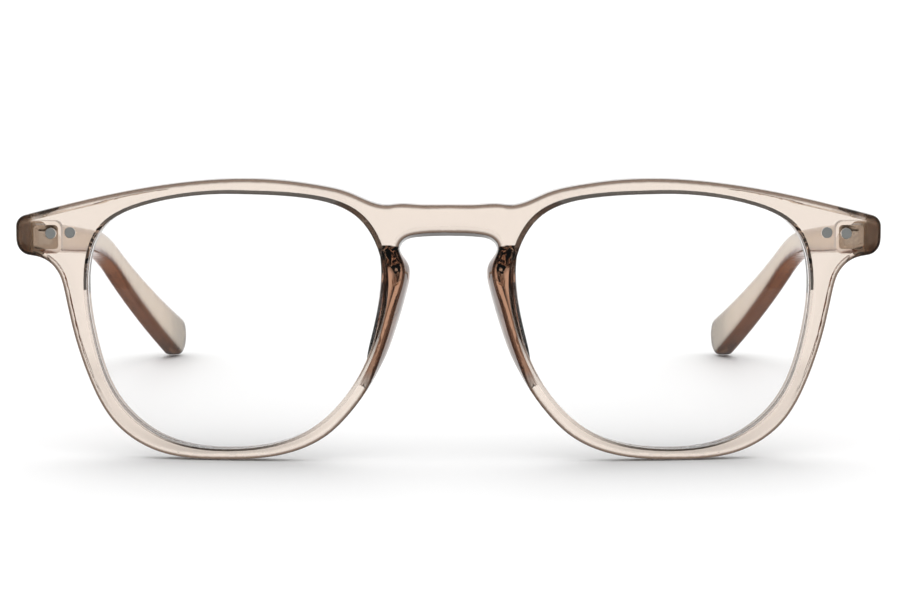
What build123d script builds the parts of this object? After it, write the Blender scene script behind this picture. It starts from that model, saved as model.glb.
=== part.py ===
from build123d import *

import copy
import os
from math import asin, cos, radians, sin, sqrt, tan

# A pair of full-rim glasses with clear plano lenses, standing on its rims and arm tips.
# Left and right are the wearer's. The wearer looks along -Y, so left is +X. Millimetres.
# Sub-parts are drawn for the left side with y = 0 at the bridge's front face, and the
# right side is their mirror image. The last section moves everything to the origin.

os.makedirs("parts", exist_ok=True)

# ---------------------------------------------------------------- front, as seen from ahead
BOW_RADIUS = 300.0  # plan curve of the front's outer face
RIM_DEPTH = 4.0
ABOVE_ALL = 60.0  # higher than any part, for cutting tools
ON_MIDDLE = 0.01  # edges with their middle nearer x = 0 than this lie on the mirror plane

BRIDGE_TOP = 42.3
TOP_EDGE = [(0, BRIDGE_TOP), (5, 42.3), (8.2, 42.42), (10, 42.22), (12, 42.5), (16.1, 44.2),
            (21, 45.4), (27.6, 46.25), (34.2, 46.45), (44.2, 45.68), (57.6, 43.25), (70.3, 40.0)]  # fmt: skip
TOP_END_SLOPE = 15.0
OUTER_X = 71.75
END_PIECE_SHOULDER = 38.2
LOWER_EDGE = [(OUTER_X, 36.5), (71.35, 34.6), (70.3, 33.6), (68.4, 33.2), (66.2, 32.3), (64.5, 30.3),
              (63.6, 27.4), (62.3, 21.4), (59.7, 13.4), (55.2, 5.6), (48, 1.1), (37.5, 0),
              (27.3, 0.95), (19.5, 4.6)]  # fmt: skip
LOWER_END_TANGENT = (-0.777, 0.629)

# The nose opening at three depths, from the rim's lower edge up to the middle of the bridge.
# It closes in behind the rim and opens out again towards the face, as the sides of a nose do.
NOSE_FRONT = [(19.5, 4.6), (15.6, 9.0), (13.2, 13.1), (11.7, 17.7), (10.4, 21.6), (9.3, 25.8), (8.1, 29.5),
              (7.8, 31.6), (8.25, 33.6), (8.6, 35.2), (7.8, 36.9), (5.5, 37.9), (0, 38.2)]  # fmt: skip
NOSE_MIDDLE = [(19.5, 4.6), (15.2, 8.9), (12.3, 12.9), (10.2, 17.0), (8.8, 21.0), (7.6, 24.9), (6.5, 29.0),
               (6.2, 31.4), (7.1, 33.0), (7.9, 34.4), (7.2, 35.6), (5.2, 36.2), (0, 36.4)]  # fmt: skip
NOSE_BACK = [(19.5, 4.6), (16.0, 8.8), (13.4, 12.8), (11.6, 16.6), (10.2, 20.6), (9.0, 24.6), (7.9, 28.6),
             (7.5, 30.6), (8.1, 32.0), (8.4, 33.2), (7.5, 34.2), (5.4, 34.6), (0, 34.8)]  # fmt: skip
FRONT_EDGE_ROUND, LOWER_EDGE_ROUND = 1.2, 0.8  # outer edges, ahead all round and behind below the lenses
NOSE_SECTIONS = [(-1.0, NOSE_FRONT), (6.5, NOSE_MIDDLE), (14.0, NOSE_BACK)]

# Each nose pad is a stack of ellipses: height, centre x, centre y, half length, half thickness.
PAD_SECTIONS = [(11.5, 15.1, 2.4, 1.5, 0.9), (14.5, 13.0, 3.2, 2.7, 1.3), (18.5, 11.3, 4.4, 4.2, 1.7),
                (22.5, 10.1, 5.3, 5.2, 1.9), (26.5, 9.2, 5.9, 5.7, 2.1), (30.0, 8.8, 5.9, 5.5, 2.2),
                (33.0, 9.2, 4.9, 4.2, 1.9), (35.5, 9.8, 3.0, 2.0, 1.3)]  # fmt: skip
PAD_TOE_IN = 12.0  # degrees that each pad's back end turns away from the nose

# ---------------------------------------------------------------- lenses
LENS_X, LENS_Z = 35.6, 23.0  # middle of the lens opening
LENS_OUTLINE = [(-1.05, 21.0), (-12.4, 20.4), (-20.8, 17.3), (-24.8, 9.5), (-24.4, 0.8), (-20.1, -10.2),
                (-11.8, -18.3), (0.65, -21.15), (12.2, -19.2), (20.1, -12.2), (23.3, -3.5), (24.5, 6.5),
                (22.2, 14.6), (14.3, 19.1)]  # fmt: skip
LENS_MEAN_RADIUS = 22.8  # turns an offset in mm into a scale of the outline
LENS_RADIUS = 130.0  # base 4 curve
LENS_THICKNESS = 1.8
LENS_APEX = 2.7  # front pole of the lens, ahead of the rim's mid depth
BEVEL_PLANE = -0.3  # the V bevel's plane, ahead of the rim's mid depth
BEVEL_HEIGHT, BEVEL_HALF_WIDTH = 0.6, 0.65
LENS_GAP = 0.03
LENS_BLANK_REACH = 5.0

# ---------------------------------------------------------------- end pieces, rivets and hinges
END_BACK = 13.85  # back face of the end piece, which the arm butts on
BLOCK_X, BLOCK_WIDTH = 67.8, 7.6  # the end piece's block behind the rim
BLOCK_Z, BLOCK_HEIGHT, BLOCK_ROUND = 36.2, 5.5, 1.3
BLOCK_INSET = 1.0  # its front end, behind the outer face
INSERT_GAP = 0.03

RIVETS = {"outer": (65.8, 37.1), "inner": (62.5, 37.3)}
RIVET_HEAD_RADIUS, RIVET_HEAD_DEPTH, RIVET_PROUD = 0.9, 0.4, 0.06
RIVET_HEAD_CHAMFER = 0.08
RIVET_SHANK_RADIUS, RIVET_LENGTH = 0.6, 1.9
POCKET_REACH = 1.0  # how far a rivet's pocket is cut ahead of the outer face

HINGE_X, HINGE_Z = 67.5, 36.2
KNUCKLE_RADIUS, KNUCKLE_HEIGHT, KNUCKLE_GAP = 1.2, 1.0, 0.05
KNUCKLE_SETBACK = 0.25  # between the knuckles and the end piece's back face
HINGE_Y = END_BACK + KNUCKLE_SETBACK + KNUCKLE_RADIUS
WEB_INSET, WEB_OVERLAP = 0.1, 0.2  # of the web that ties each knuckle to the plate
STACK_HEIGHT = 3 * KNUCKLE_HEIGHT + 2 * KNUCKLE_GAP
SCREW_RADIUS, SCREW_CLEARANCE = 0.5, 0.03
SCREW_HEAD_RADIUS, SCREW_HEAD_HEIGHT, SCREW_HEAD_ROUND = 0.95, 0.5, 0.15
SCREW_HEAD_LIFT, SCREW_PROUD = 0.02, 0.1
SLOT_WIDTH, SLOT_DEPTH = 0.3, 0.22
FLANGE = (4.2, 0.7, 4.0)  # front leaf's plate, let into the end piece's back
FLANGE_X, FLANGE_CORNER = 66.6, 0.7
ANCHOR = (2.4, 2.6, 2.2)  # barbed block behind the plate, moulded into the end piece
BARB_PLACES = (1.6, 2.5)  # grooves between the barbs, ahead of the end piece's back
BARB_WIDTH, BARB_DEPTH = 0.4, 0.3
LEAF_THICKNESS, LEAF_HEIGHT = 1.0, 3.0
LEAF_CORNER = 0.4
LEAF_END = 27.5
NECK_OVERLAP = 1.0  # how far the neck runs into the tang

# ---------------------------------------------------------------- arms
ARM_START = 14.0  # butt face, just behind the end piece
ARM_ROOT_Z, ARM_ROOT_HEIGHT = 36.2, 5.5
ARM_SLOPE, TIP_SLOPE = 5.5, 20.8  # degrees below level
BEND_HEIGHT, BEND_RADIUS = 4.2, 100.0
TIP_Y, TIP_HEIGHT = 151.5, 8.14  # centre and height of the rounded tip
TIP_ROUND = 3.9
ARM_OUTER_FACE = [(71.4, 14), (69.9, 42), (67.75, 85), (64.2, 120), (58.4, 157)]
ARM_INNER_FACE = [(66.5, 14), (65.8, 42), (63.85, 85), (60.3, 120), (54.4, 157)]
ARM_EDGE_ROUND = 1.2
NOTCH_X, NOTCH_END = 69.0, 17.4  # clearance for the knuckles, in the arm's inner side
TANG_INSET = 0.4  # the tang's start, behind the notch's end
BUTT_MARGIN = 0.5  # edges that end closer than this to the butt face stay sharp
ARM_STOCK = (49.0, 89.0)  # nearest and furthest x of the stock that each arm is cut from


def bow(x):
    """How far the front's outer face lies behind y = 0 at x."""
    return BOW_RADIUS - sqrt(BOW_RADIUS**2 - x**2)


def facing(x, depth, z):
    """A plane square to the front's outer face at x, depth behind it, with its normal pointing ahead."""
    turn = asin(x / BOW_RADIUS)
    normal = Vector(sin(turn), -cos(turn), 0)
    return Plane(Vector(x, bow(x), z) - normal * depth, x_dir=(cos(turn), sin(turn), 0), z_dir=normal)


lens_plane = facing(LENS_X, RIM_DEPTH / 2, LENS_Z)


def lens_outline(ahead, growth):
    """The lens outline as a face, ahead of the rim's mid depth and grown all round."""
    scale = 1 + growth / LENS_MEAN_RADIUS
    with BuildSketch(lens_plane.offset(ahead)) as outline:
        with BuildLine():
            Spline([(u * scale, v * scale) for u, v in LENS_OUTLINE], periodic=True)
        make_face()
    return outline.sketch


def bevelled_blank(growth, reach):
    """A block of the lens outline with a V bevel round it, for the lens and for its groove."""
    with BuildPart() as blank:
        extrude(lens_outline(-reach, growth), amount=2 * reach)
        crest = lens_outline(BEVEL_PLANE, growth + BEVEL_HEIGHT)
        for side in (-BEVEL_HALF_WIDTH, BEVEL_HALF_WIDTH):
            loft([crest, lens_outline(BEVEL_PLANE + side, growth)], ruled=True)
    return blank.part


def front_leaf_blank(gap):
    """The front leaf's plate and its anchor in the end piece, grown by gap."""
    with BuildPart() as blank:
        with Locations((FLANGE_X, END_BACK - FLANGE[1] / 2, HINGE_Z)):
            Box(*[size + 2 * gap for size in FLANGE])
        fillet(blank.edges().filter_by(Axis.Y), FLANGE_CORNER)
        with Locations((FLANGE_X, END_BACK - FLANGE[1] - ANCHOR[1] / 2, HINGE_Z)):
            Box(*[size + 2 * gap for size in ANCHOR])
    return blank.part


def temple_leaf_blank(gap):
    """The arm leaf's neck and its tang, which slopes down with the arm, grown by gap."""
    tang_start = NOTCH_END + TANG_INSET
    tang_y = (tang_start + LEAF_END) / 2
    tang_z = ARM_ROOT_Z - (tang_y - ARM_START) * tan(radians(ARM_SLOPE))
    neck_end = tang_start + NECK_OVERLAP
    with BuildPart() as blank:
        with Locations(Location((HINGE_X, tang_y, tang_z), (-ARM_SLOPE, 0, 0))):
            Box(LEAF_THICKNESS + 2 * gap, LEAF_END - tang_start + 2 * gap, LEAF_HEIGHT + 2 * gap)
        fillet(blank.edges().filter_by(Axis.X), LEAF_CORNER)
        with Locations((HINGE_X, (HINGE_Y + neck_end) / 2, HINGE_Z)):
            Box(LEAF_THICKNESS + 2 * gap, neck_end - HINGE_Y + 2 * gap, KNUCKLE_HEIGHT + 2 * gap)
    return blank.part


def rivet_blank(x, z, gap, face):
    """A rivet's head and shank, grown by gap, with the head's outer face that far ahead of the front."""
    with BuildPart() as blank:
        with BuildSketch(facing(x, -face, z)):
            Circle(RIVET_HEAD_RADIUS + gap)
        extrude(amount=-face - RIVET_HEAD_DEPTH - gap)
        with BuildSketch(facing(x, RIVET_HEAD_DEPTH, z)):
            Circle(RIVET_SHANK_RADIUS + gap)
        extrude(amount=RIVET_HEAD_DEPTH - RIVET_LENGTH - gap)
    return blank.part


def guided_spline(points, start, end):
    """A spline through the points that leaves along start and arrives along end."""
    return Spline(points, tangents=[start, end], tangent_scalars=[1, 1])


def front_outline(depth, nose_points):
    """The outline of the front's left half at that depth."""
    end_slope = radians(TOP_END_SLOPE)
    with BuildSketch(Plane.XZ.offset(-depth)) as section:
        with BuildLine():
            top = guided_spline(TOP_EDGE, (1, 0), (cos(end_slope), -sin(end_slope)))
            corner = TangentArc(top @ 1, (OUTER_X, END_PIECE_SHOULDER), tangent=top % 1)
            Line(corner @ 1, LOWER_EDGE[0])
            guided_spline(LOWER_EDGE, (0, -1), LOWER_END_TANGENT)
            guided_spline(nose_points, LOWER_END_TANGENT, (-1, 0))
            Line(nose_points[-1], TOP_EDGE[0])
        make_face()
    return section.sketch


def curved_face(front, place):
    """The front's outer (0) or inner (-1) bowed face."""
    largest = front.faces().filter_by(GeomType.CYLINDER).sort_by(SortBy.AREA)[-2:]
    return largest.sort_by(Axis.Y)[place]


# ================================================================ lens
with BuildPart() as lens_left:
    add(bevelled_blank(-LENS_GAP, LENS_BLANK_REACH))
    with Locations(lens_plane.from_local_coords((0, 0, LENS_APEX - LENS_RADIUS))):
        Sphere(LENS_RADIUS, mode=Mode.INTERSECT)
        Sphere(LENS_RADIUS - LENS_THICKNESS, mode=Mode.SUBTRACT)

# ================================================================ rivets
rivets = {}
for place, (x, z) in RIVETS.items():
    with BuildPart() as rivet:
        add(rivet_blank(x, z, 0, RIVET_PROUD))
        chamfer(rivet.edges().filter_by(GeomType.CIRCLE).sort_by(Axis.Y)[0], RIVET_HEAD_CHAMFER)
    rivets[place] = rivet.part

# ================================================================ hinge
stack_bottom = HINGE_Z - STACK_HEIGHT / 2
stack_top = HINGE_Z + STACK_HEIGHT / 2

with BuildPart() as hinge_front_leaf_left:
    add(front_leaf_blank(0))
    for place in BARB_PLACES:
        with Locations((FLANGE_X, END_BACK - place, HINGE_Z)):
            Box(ANCHOR[0], BARB_WIDTH, ANCHOR[2], mode=Mode.SUBTRACT)
            Box(ANCHOR[0] - 2 * BARB_DEPTH, BARB_WIDTH, ANCHOR[2] - 2 * BARB_DEPTH)
    for bottom in (stack_bottom, stack_top - KNUCKLE_HEIGHT):
        with BuildSketch(Plane.XY.offset(bottom)):
            with Locations((HINGE_X, HINGE_Y)):
                Circle(KNUCKLE_RADIUS)
            with Locations((HINGE_X, (HINGE_Y + END_BACK - WEB_OVERLAP) / 2)):
                Rectangle(2 * (KNUCKLE_RADIUS - WEB_INSET), HINGE_Y - END_BACK + WEB_OVERLAP)
        extrude(amount=KNUCKLE_HEIGHT)
    with Locations((HINGE_X, HINGE_Y, HINGE_Z)):
        Cylinder(SCREW_RADIUS + SCREW_CLEARANCE, 2 * STACK_HEIGHT, mode=Mode.SUBTRACT)

with BuildPart() as hinge_temple_leaf_left:
    add(temple_leaf_blank(0))
    with Locations((HINGE_X, HINGE_Y, HINGE_Z)):
        Cylinder(KNUCKLE_RADIUS, KNUCKLE_HEIGHT)
        Cylinder(SCREW_RADIUS + SCREW_CLEARANCE, 2 * STACK_HEIGHT, mode=Mode.SUBTRACT)

with BuildPart() as hinge_screw_left:
    with BuildSketch(Plane.XY.offset(stack_bottom - SCREW_PROUD)):
        with Locations((HINGE_X, HINGE_Y)):
            Circle(SCREW_RADIUS)
    extrude(amount=STACK_HEIGHT + 2 * SCREW_PROUD)
    with BuildSketch(Plane.XY.offset(stack_top + SCREW_HEAD_LIFT)):
        with Locations((HINGE_X, HINGE_Y)):
            Circle(SCREW_HEAD_RADIUS)
    extrude(amount=SCREW_HEAD_HEIGHT)
    fillet(hinge_screw_left.edges().sort_by(Axis.Z)[-1], SCREW_HEAD_ROUND)
    with Locations((HINGE_X, HINGE_Y, stack_top + SCREW_HEAD_LIFT + SCREW_HEAD_HEIGHT)):
        Box(3 * SCREW_HEAD_RADIUS, SLOT_WIDTH, 2 * SLOT_DEPTH, mode=Mode.SUBTRACT)

# ================================================================ front frame
with BuildPart() as front_stock:
    with Locations((0, BOW_RADIUS, 0)):
        Cylinder(BOW_RADIUS, 2 * ABOVE_ALL)
        Cylinder(BOW_RADIUS - RIM_DEPTH, 2 * ABOVE_ALL, mode=Mode.SUBTRACT)
    for height, x, y, half_length, half_thickness in PAD_SECTIONS:
        with BuildSketch(Plane.XY.offset(height)):
            with Locations(Location((x, y), 90 - PAD_TOE_IN)):
                Ellipse(half_length, half_thickness)
    loft()
    with BuildSketch(Plane.XZ.offset(-END_BACK)):
        with Locations((BLOCK_X, BLOCK_Z)):
            RectangleRounded(BLOCK_WIDTH, BLOCK_HEIGHT, BLOCK_ROUND)
    extrude(amount=END_BACK - bow(BLOCK_X) - BLOCK_INSET)

with BuildPart() as front_half:
    loft([front_outline(depth, points) for depth, points in NOSE_SECTIONS])
    add(front_stock.part, mode=Mode.INTERSECT)
    fillet(curved_face(front_half, -1).outer_wire().edges().sort_by(SortBy.LENGTH)[-1], LOWER_EDGE_ROUND)
    front_edges = curved_face(front_half, 0).outer_wire().edges()
    fillet(front_edges.filter_by(lambda edge: edge.center().X > ON_MIDDLE), FRONT_EDGE_ROUND)
    add(bevelled_blank(0, LENS_BLANK_REACH), mode=Mode.SUBTRACT)
    for x, z in RIVETS.values():
        add(rivet_blank(x, z, INSERT_GAP, POCKET_REACH), mode=Mode.SUBTRACT)
    add(front_leaf_blank(INSERT_GAP), mode=Mode.SUBTRACT)

with BuildPart() as front_frame:
    add(front_half.part)
    mirror(about=Plane.YZ)

# ================================================================ arm
root_top = ARM_ROOT_Z + ARM_ROOT_HEIGHT / 2
root_bottom = ARM_ROOT_Z - ARM_ROOT_HEIGHT / 2
tip_slope = radians(TIP_SLOPE)
tip_z = TIP_HEIGHT / 2
arm_run = tan(radians(ARM_SLOPE))
bend_y = (ARM_ROOT_Z + ARM_START * arm_run - tip_z - TIP_Y * tan(tip_slope)) / (arm_run - tan(tip_slope))
bend_z = ARM_ROOT_Z - (bend_y - ARM_START) * arm_run
tip_end = Vector(TIP_Y, tip_z) + Vector(cos(tip_slope), -sin(tip_slope)) * tip_z
tip_half = Vector(sin(tip_slope), cos(tip_slope)) * tip_z

with BuildPart() as temple_left:
    with BuildSketch(Plane.YZ.offset(ARM_STOCK[0])) as side_profile:
        with BuildLine():
            Polyline((ARM_START, root_bottom), (ARM_START, root_top), (bend_y, bend_z + BEND_HEIGHT / 2),
                     tip_end + tip_half, tip_end - tip_half, (bend_y, bend_z - BEND_HEIGHT / 2),
                     close=True)  # fmt: skip
        make_face()
        bends = side_profile.vertices().sort_by(lambda corner: abs(corner.X - bend_y))[:2]
        fillet(bends, BEND_RADIUS)
        fillet(side_profile.vertices().sort_by(Axis.X)[-2:], TIP_ROUND)
    extrude(amount=ARM_STOCK[1] - ARM_STOCK[0])
    with BuildSketch(Plane.XY) as plan:
        with BuildLine():
            outer = Spline(ARM_OUTER_FACE)
            inner = Spline(ARM_INNER_FACE)
            Line(outer @ 0, inner @ 0)
            Line(outer @ 1, inner @ 1)
        make_face()
    extrude(amount=ABOVE_ALL, both=True, mode=Mode.INTERSECT)
    long_edges = temple_left.edges().filter_by(lambda edge: abs(edge.tangent_at(0.5).X) < 0.5)
    past_butt = long_edges.filter_by(lambda edge: edge.bounding_box().max.Y > ARM_START + BUTT_MARGIN)
    fillet(past_butt, ARM_EDGE_ROUND)
    with Locations(((NOTCH_X + ARM_STOCK[0]) / 2, NOTCH_END / 2, ARM_ROOT_Z)):
        Box(NOTCH_X - ARM_STOCK[0], NOTCH_END, 2 * ARM_ROOT_HEIGHT, mode=Mode.SUBTRACT)
    add(temple_leaf_blank(INSERT_GAP), mode=Mode.SUBTRACT)

# ================================================================ both sides, moved to the origin
left_parts = {"lens": lens_left.part, "hinge_front_leaf": hinge_front_leaf_left.part,
              "hinge_temple_leaf": hinge_temple_leaf_left.part, "hinge_screw": hinge_screw_left.part,
              "temple": temple_left.part}  # fmt: skip
names = {"front_frame": front_frame.part}
for kind, left in left_parts.items():
    names[kind + "_left"] = left
    names[kind + "_right"] = mirror(left, about=Plane.YZ)
for place, left in rivets.items():
    names["front_rivet_left_" + place] = left
    names["front_rivet_right_" + place] = mirror(left, about=Plane.YZ)

whole = Compound(children=[copy.copy(piece) for piece in names.values()]).bounding_box()
to_origin = Location((0, -(whole.min.Y + whole.max.Y) / 2, -whole.min.Z))
for name, piece in names.items():
    placed = to_origin * piece
    placed.label = name
    export_step(placed, "parts/" + name + ".step")

shift = to_origin.position
print("size", whole.size, "moved by", shift)
print("left hinge axis", HINGE_X, HINGE_Y + shift.Y, HINGE_Z + shift.Z)
print("front face at the bridge", shift.Y, "lens middle", lens_plane.origin + shift)
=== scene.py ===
import math

import bpy
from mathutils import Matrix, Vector


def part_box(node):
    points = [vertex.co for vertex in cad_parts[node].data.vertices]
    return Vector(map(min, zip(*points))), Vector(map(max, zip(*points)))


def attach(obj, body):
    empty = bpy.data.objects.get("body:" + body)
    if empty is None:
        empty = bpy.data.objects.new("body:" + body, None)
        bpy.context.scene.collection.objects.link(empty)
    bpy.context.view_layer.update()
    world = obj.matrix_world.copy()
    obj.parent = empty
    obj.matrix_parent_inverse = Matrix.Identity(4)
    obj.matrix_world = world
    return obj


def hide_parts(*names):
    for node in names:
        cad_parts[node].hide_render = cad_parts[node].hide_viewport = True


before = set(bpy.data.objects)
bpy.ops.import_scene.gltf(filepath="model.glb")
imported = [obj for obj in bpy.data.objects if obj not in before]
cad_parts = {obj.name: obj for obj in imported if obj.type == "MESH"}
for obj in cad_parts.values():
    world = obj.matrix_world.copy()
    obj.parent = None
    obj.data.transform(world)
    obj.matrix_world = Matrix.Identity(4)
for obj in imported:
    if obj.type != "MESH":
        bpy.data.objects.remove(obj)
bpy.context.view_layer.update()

# ---------------------------------------------------------------- camera
CAMERA_DISTANCE = 0.550  # ahead of the bridge's front face
CAMERA_HEIGHT = 0.082
TARGET_HEIGHT = 0.0268
FOCAL_LENGTH = 135.3
SENSOR_WIDTH = 36.0
SIDE_SHIFT = 1 / 600
NEAREST, FARTHEST = 0.01, 20

front_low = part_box("front_frame")[0]


def add_camera():
    target = Vector((0, front_low[1], TARGET_HEIGHT))
    place = Vector((0, front_low[1] - CAMERA_DISTANCE, CAMERA_HEIGHT))
    data = bpy.data.cameras.new("camera")
    data.lens = FOCAL_LENGTH
    data.sensor_width = SENSOR_WIDTH
    data.shift_x = SIDE_SHIFT
    data.clip_start, data.clip_end = NEAREST, FARTHEST
    camera = bpy.data.objects.new("camera", data)
    camera.location = place
    camera.rotation_euler = (target - place).to_track_quat("-Z", "Y").to_euler()
    bpy.context.scene.collection.objects.link(camera)
    bpy.context.scene.camera = camera


# ---------------------------------------------------------------- studio
FLOOR_SIZE = 3.0
FLOOR_PLACE = (0, 0.4, -0.0001)
FLOOR_GREY, FLOOR_ROUGHNESS = 0.92, 0.6
SURROUND_DARK, SURROUND_BRIGHT = 0.14, 1.1
SUN_STRENGTH = 3.3
SUN_ANGLE = math.radians(130)
BRIGHT_FROM, BRIGHT_TO = 0.5, 0.97  # share of a direction that points straight behind the object
DARK_BELOW, BRIGHT_ABOVE = -0.5, -0.2  # share of a direction that points straight up


def add_surroundings():
    """A bright panel straight behind the object and dim light all round it, as in a product studio.

    The camera itself sees white in every direction.
    """
    world = bpy.data.worlds.new("studio")
    world.use_nodes = True
    nodes, links = world.node_tree.nodes, world.node_tree.links
    background = nodes["Background"]
    direction = split(nodes, links, nodes.new("ShaderNodeTexCoord").outputs["Generated"])
    behind = ramp_between(nodes, links, direction["Y"], BRIGHT_FROM, BRIGHT_TO)
    above = ramp_between(nodes, links, direction["Z"], DARK_BELOW, BRIGHT_ABOVE)
    bright = mapped(nodes, links, product(nodes, links, behind, above), SURROUND_DARK, SURROUND_BRIGHT)
    seen = nodes.new("ShaderNodeLightPath")
    strength = nodes.new("ShaderNodeMath")
    strength.operation = "MAXIMUM"
    links.new(bright, strength.inputs[0])
    links.new(seen.outputs["Is Camera Ray"], strength.inputs[1])
    background.inputs["Color"].default_value = (1, 1, 1, 1)
    links.new(strength.outputs["Value"], background.inputs["Strength"])
    bpy.context.scene.world = world


def add_studio():
    add_surroundings()
    sun = bpy.data.objects.new("overhead", bpy.data.lights.new("overhead", "SUN"))
    sun.data.energy = SUN_STRENGTH
    sun.data.angle = SUN_ANGLE
    sun.visible_glossy = False
    sun.visible_transmission = False
    bpy.context.scene.collection.objects.link(sun)
    bpy.ops.mesh.primitive_plane_add(size=FLOOR_SIZE, location=FLOOR_PLACE)
    floor = bpy.context.object
    floor.name = "floor"
    floor.data.materials.append(floor_material())
    floor.visible_glossy = False
    view = bpy.context.scene.view_settings
    view.view_transform = "Standard"
    view.look = "None"


# ---------------------------------------------------------------- materials
def new_material(name):
    material = bpy.data.materials.new(name)
    material.use_nodes = True
    nodes = material.node_tree.nodes
    return material, nodes, material.node_tree.links, nodes["Principled BSDF"]


def floor_material():
    material, _, _, shader = new_material("floor")
    shader.inputs["Base Color"].default_value = (FLOOR_GREY, FLOOR_GREY, FLOOR_GREY, 1)
    shader.inputs["Roughness"].default_value = FLOOR_ROUGHNESS
    return material


def add_noise(nodes, links, scale, detail):
    coordinates = nodes.new("ShaderNodeTexCoord")
    noise = nodes.new("ShaderNodeTexNoise")
    noise.inputs["Scale"].default_value = scale
    noise.inputs["Detail"].default_value = detail
    links.new(coordinates.outputs["Object"], noise.inputs["Vector"])
    return noise


def mapped(nodes, links, source, low, high):
    remap = nodes.new("ShaderNodeMapRange")
    remap.inputs["To Min"].default_value = low
    remap.inputs["To Max"].default_value = high
    links.new(source, remap.inputs["Value"])
    return remap.outputs["Result"]


def add_bump(nodes, links, shader, source, distance, strength=1.0):
    bump = nodes.new("ShaderNodeBump")
    bump.inputs["Distance"].default_value = distance
    bump.inputs["Strength"].default_value = strength
    links.new(source, bump.inputs["Height"])
    links.new(bump.outputs["Normal"], shader.inputs["Normal"])


PLASTIC_IOR, LENS_IOR = 1.5, 1.3
PLASTIC_ABSORPTION = (0.62, 0.28, 0.0)
FRONT_DENSITY, ARM_DENSITY = 40.0, 12.0  # per metre
RIPPLE_SCALE, RIPPLE_DETAIL, RIPPLE_DEPTH = 260, 2, 0.000004
PLASTIC_ROUGHEST, LENS_ROUGHEST = 0.05, 0.02
FRONT_TINT = (0.85, 0.79, 0.735)
ARM_TINT = (0.98, 0.87, 0.72)
ARM_CLEARNESS = 0.6  # the rest of the light is scattered at the surface
FRONT_GLANCING_PAINTED_SHADE = (0.34, 0.27, 0.22)  # painted shade where the surface is seen at a glancing angle
# painted shade on the arms where the surface is seen at a glancing angle
ARM_GLANCING_PAINTED_SHADE = (0.62, 0.50, 0.38)
ROUNDED_EDGE_PAINTED_SHADE = (0.14, 0.10, 0.08)  # painted shade along the front's rounded outer edges
EDGE_FROM, EDGE_TO = 0.15, 0.65  # 0 seen square on and 1 seen edge on
OFF_FACE = (0.95, 0.75)  # share of the normal that points ahead or behind
OFF_WALL = (0.15, 0.4)
# painted brown shade on the nose pads, where light runs far through the thick plastic
PAD_PAINTED_SHADE = (0.42, 0.20, 0.12)
PAD_REACH, PAD_FADE = 0.018, 0.001  # how far the pads reach from the middle, and the blend there
PAD_FROM, PAD_TO = 0.0043, 0.0062  # behind the bridge's front face
# painted brown shade on the arms' undersides
UNDERSIDE_PAINTED_SHADE = (0.50, 0.26, 0.18)
UNDERSIDE = (-0.1, -0.45)  # share of the normal that points up
TIP_TINT = (0.5, 0.5, 0.46)
TIP_FROM, TIP_TO = 0.058, 0.074


def ramp_between(nodes, links, source, low, high):
    """0 below low, 1 above high and smooth between."""
    remap = nodes.new("ShaderNodeMapRange")
    remap.interpolation_type = "SMOOTHSTEP"
    remap.inputs["From Min"].default_value = low
    remap.inputs["From Max"].default_value = high
    links.new(source, remap.inputs["Value"])
    return remap.outputs["Result"]


def product(nodes, links, first, second):
    node = nodes.new("ShaderNodeMath")
    node.operation = "MULTIPLY"
    links.new(first, node.inputs[0])
    links.new(second, node.inputs[1])
    return node.outputs["Value"]


def tinted(nodes, links, share, colour, tint):
    """The colour, turning to tint times the colour as share goes from 0 to 1."""
    mix = nodes.new("ShaderNodeMix")
    mix.data_type = "RGBA"
    mix.blend_type = "MULTIPLY"
    links.new(share, mix.inputs["Factor"])
    if isinstance(colour, tuple):
        mix.inputs[6].default_value = (*colour, 1)
    else:
        links.new(colour, mix.inputs[6])
    mix.inputs[7].default_value = (*tint, 1)
    return mix.outputs[2]


def size_of(nodes, links, source):
    node = nodes.new("ShaderNodeMath")
    node.operation = "ABSOLUTE"
    links.new(source, node.inputs[0])
    return node.outputs["Value"]


def split(nodes, links, source):
    axes = nodes.new("ShaderNodeSeparateXYZ")
    links.new(source, axes.inputs["Vector"])
    return axes.outputs


def crystal_material(name, density, clearness, colour_of, glancing_painted_shade):
    """Polished transparent champagne plastic, which turns brown where light runs far inside it, with
    painted shade where its surface is seen at a glancing angle.
    """
    material, nodes, links, shader = new_material(name)
    place = split(nodes, links, nodes.new("ShaderNodeTexCoord").outputs["Object"])
    facing = nodes.new("ShaderNodeLayerWeight")
    # painted shade: the colour darkens where the surface is seen at a glancing angle
    glancing_shade_share = ramp_between(nodes, links, facing.outputs["Facing"], EDGE_FROM, EDGE_TO)
    colour = tinted(nodes, links, glancing_shade_share, colour_of(nodes, links, place), glancing_painted_shade)
    links.new(colour, shader.inputs["Base Color"])
    shader.inputs["Transmission Weight"].default_value = clearness
    shader.inputs["IOR"].default_value = PLASTIC_IOR
    ripples = add_noise(nodes, links, RIPPLE_SCALE, RIPPLE_DETAIL)
    roughness = mapped(nodes, links, ripples.outputs["Fac"], 0.0, PLASTIC_ROUGHEST)
    links.new(roughness, shader.inputs["Roughness"])
    add_bump(nodes, links, shader, ripples.outputs["Fac"], RIPPLE_DEPTH)
    volume = nodes.new("ShaderNodeVolumeAbsorption")
    volume.inputs["Color"].default_value = (*PLASTIC_ABSORPTION, 1)
    volume.inputs["Density"].default_value = density
    links.new(volume.outputs["Volume"], nodes["Material Output"].inputs["Volume"])
    return material


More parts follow.
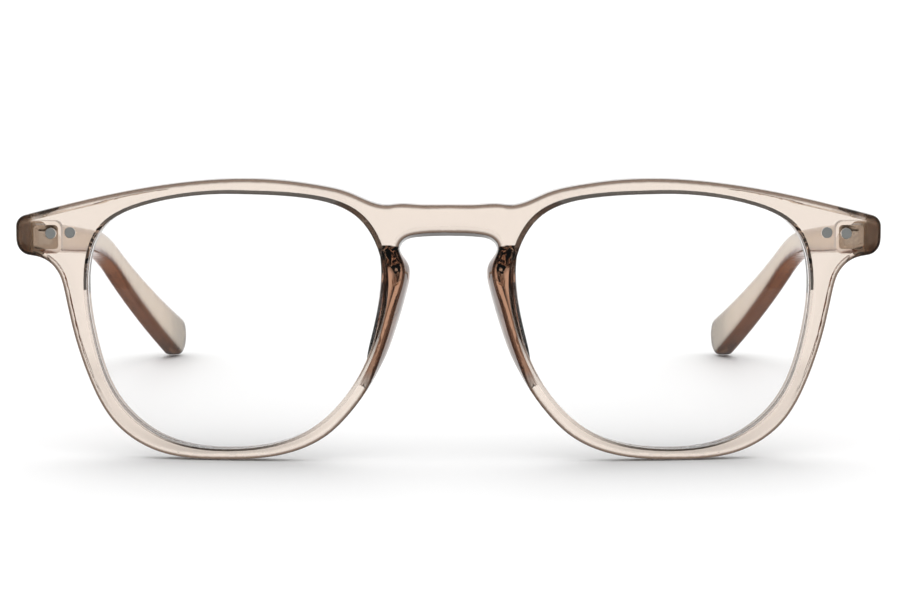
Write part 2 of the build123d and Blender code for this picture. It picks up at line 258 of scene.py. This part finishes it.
def front_colour(nodes, links, place):
    """Champagne, with painted brown shade on the nose pads and painted shade lines along the rounded
    outer edges.
    """
    off_middle = size_of(nodes, links, place["X"])
    near = ramp_between(nodes, links, off_middle, PAD_REACH + PAD_FADE, PAD_REACH)
    behind = ramp_between(nodes, links, place["Y"], front_low[1] + PAD_FROM, front_low[1] + PAD_TO)
    # painted brown shade on the nose pads
    body = tinted(nodes, links, product(nodes, links, near, behind), FRONT_TINT, PAD_PAINTED_SHADE)
    # painted shade on the rounded outer edges, between the faces and the walls
    normal = split(nodes, links, nodes.new("ShaderNodeTexCoord").outputs["Normal"])
    ahead = size_of(nodes, links, normal["Y"])
    off_face = ramp_between(nodes, links, ahead, *OFF_FACE)
    off_wall = ramp_between(nodes, links, ahead, *OFF_WALL)
    return tinted(nodes, links, product(nodes, links, off_face, off_wall), body, ROUNDED_EDGE_PAINTED_SHADE)


def arm_colour(nodes, links, place):
    """Cream, with painted brown shade on the underside and a grey tip."""
    normal = split(nodes, links, nodes.new("ShaderNodeTexCoord").outputs["Normal"])
    down = ramp_between(nodes, links, normal["Z"], *UNDERSIDE)
    tip = ramp_between(nodes, links, place["Y"], TIP_FROM, TIP_TO)
    # painted brown shade on the faces that point down
    body = tinted(nodes, links, down, ARM_TINT, UNDERSIDE_PAINTED_SHADE)
    return tinted(nodes, links, tip, body, TIP_TINT)


# the lens's colour at its foot: darker towards the bottom
LENS_FOOT_GREY = (0.9, 0.9, 0.9)
LENS_GREY_TOP = 0.85  # where the grey ends, as a share of the lens's top height
HAZE_SCALE, HAZE_DETAIL = 40, 2


def lens_material():
    """A clear coated lens that turns faintly grey towards the bottom, fading out upwards."""
    material, nodes, links, shader = new_material("lens")
    shader.inputs["Base Color"].default_value = (1, 1, 1, 1)
    shader.inputs["Transmission Weight"].default_value = 1.0
    shader.inputs["IOR"].default_value = LENS_IOR
    haze = add_noise(nodes, links, HAZE_SCALE, HAZE_DETAIL)
    roughness = mapped(nodes, links, haze.outputs["Fac"], 0.0, LENS_ROUGHEST)
    links.new(roughness, shader.inputs["Roughness"])
    place = split(nodes, links, nodes.new("ShaderNodeTexCoord").outputs["Object"])
    tint = nodes.new("ShaderNodeValToRGB")
    tint.color_ramp.elements[0].color = (*LENS_FOOT_GREY, 1)
    tint.color_ramp.elements[1].color = (1, 1, 1, 1)
    lens_low, lens_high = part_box("lens_left")
    height = nodes.new("ShaderNodeMapRange")
    height.inputs["From Min"].default_value = lens_low[2]
    height.inputs["From Max"].default_value = lens_high[2] * LENS_GREY_TOP
    links.new(place["Z"], height.inputs["Value"])
    links.new(height.outputs["Result"], tint.inputs["Fac"])
    links.new(tint.outputs["Color"], shader.inputs["Base Color"])
    return material


RIVET_METALLIC = 0.3  # low, so that the heads stay mid grey between dim surroundings
GRAIN_DETAIL, GRAIN_DEPTH, GRAIN_STRENGTH = 6, 0.00001, 0.6
GRAIN_SHADE = 0.72  # the dark of the grain, as a share of the colour
GRAIN_DARK_END, GRAIN_LIGHT_END = 0.3, 0.7
ROUGHNESS_SPREAD = 0.3


def metal_material(name, colour, roughness, scratch_scale, metallic=1.0):
    material, nodes, links, shader = new_material(name)
    shader.inputs["Metallic"].default_value = metallic
    grain = add_noise(nodes, links, scratch_scale, GRAIN_DETAIL)
    ramp = nodes.new("ShaderNodeValToRGB")
    ramp.color_ramp.elements[0].position = GRAIN_DARK_END
    ramp.color_ramp.elements[1].position = GRAIN_LIGHT_END
    ramp.color_ramp.elements[0].color = (*[channel * GRAIN_SHADE for channel in colour], 1)
    ramp.color_ramp.elements[1].color = (*colour, 1)
    links.new(grain.outputs["Fac"], ramp.inputs["Fac"])
    links.new(ramp.outputs["Color"], shader.inputs["Base Color"])
    smoothest, roughest = roughness * (1 - ROUGHNESS_SPREAD), roughness * (1 + ROUGHNESS_SPREAD)
    links.new(mapped(nodes, links, grain.outputs["Fac"], smoothest, roughest), shader.inputs["Roughness"])
    add_bump(nodes, links, shader, grain.outputs["Fac"], GRAIN_DEPTH, GRAIN_STRENGTH)
    return material


def dress(node, material):
    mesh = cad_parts[node].data
    mesh.materials.clear()
    mesh.materials.append(material)


# ---------------------------------------------------------------- pieces
ARM_VOXEL = 0.0004
ARM_ROUNDING = 4  # rounds of smoothing
SMOOTH_SHARE = 0.5


def polished_arm(node, body, material):
    """The arm as tumble-polishing leaves it: the CAD solid with its edges rounded off."""
    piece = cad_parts[node].copy()
    piece.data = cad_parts[node].data.copy()
    piece.name = node + "_polished"
    for key in [key for key in piece.keys() if key.startswith("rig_")]:
        del piece[key]
    piece.parent = None
    bpy.context.scene.collection.objects.link(piece)
    remesh = piece.modifiers.new("remesh", "REMESH")
    remesh.mode = "VOXEL"
    remesh.voxel_size = ARM_VOXEL
    smooth = piece.modifiers.new("smooth", "SMOOTH")
    smooth.factor = SMOOTH_SHARE
    smooth.iterations = ARM_ROUNDING
    bpy.context.view_layer.objects.active = piece
    for modifier in ("remesh", "smooth"):
        bpy.ops.object.modifier_apply(modifier=modifier)
    piece.data.materials.clear()
    piece.data.materials.append(material)
    piece.data.polygons.foreach_set("use_smooth", [True] * len(piece.data.polygons))
    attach(piece, body)
    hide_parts(node)


def dress_all():
    front_plastic = crystal_material("front_plastic", FRONT_DENSITY, 1.0, front_colour, FRONT_GLANCING_PAINTED_SHADE)
    arm_plastic = crystal_material("arm_plastic", ARM_DENSITY, ARM_CLEARNESS, arm_colour, ARM_GLANCING_PAINTED_SHADE)
    lens = lens_material()
    rivet = metal_material("rivet_steel", (0.36, 0.37, 0.36), 0.5, 9000, RIVET_METALLIC)
    hinge = metal_material("hinge_metal", (0.80, 0.76, 0.70), 0.2, 5000)
    screw = metal_material("screw_metal", (0.6, 0.6, 0.6), 0.2, 5000)
    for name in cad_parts:
        if name == "front_frame":
            dress(name, front_plastic)
        elif name.startswith("temple"):
            polished_arm(name, name.replace("temple", "arm"), arm_plastic)
        elif name.startswith("lens"):
            dress(name, lens)
        elif name.startswith("front_rivet"):
            dress(name, rivet)
        elif name.startswith("hinge_screw"):
            dress(name, screw)
        else:
            dress(name, hinge)


add_camera()
add_studio()
dress_all()
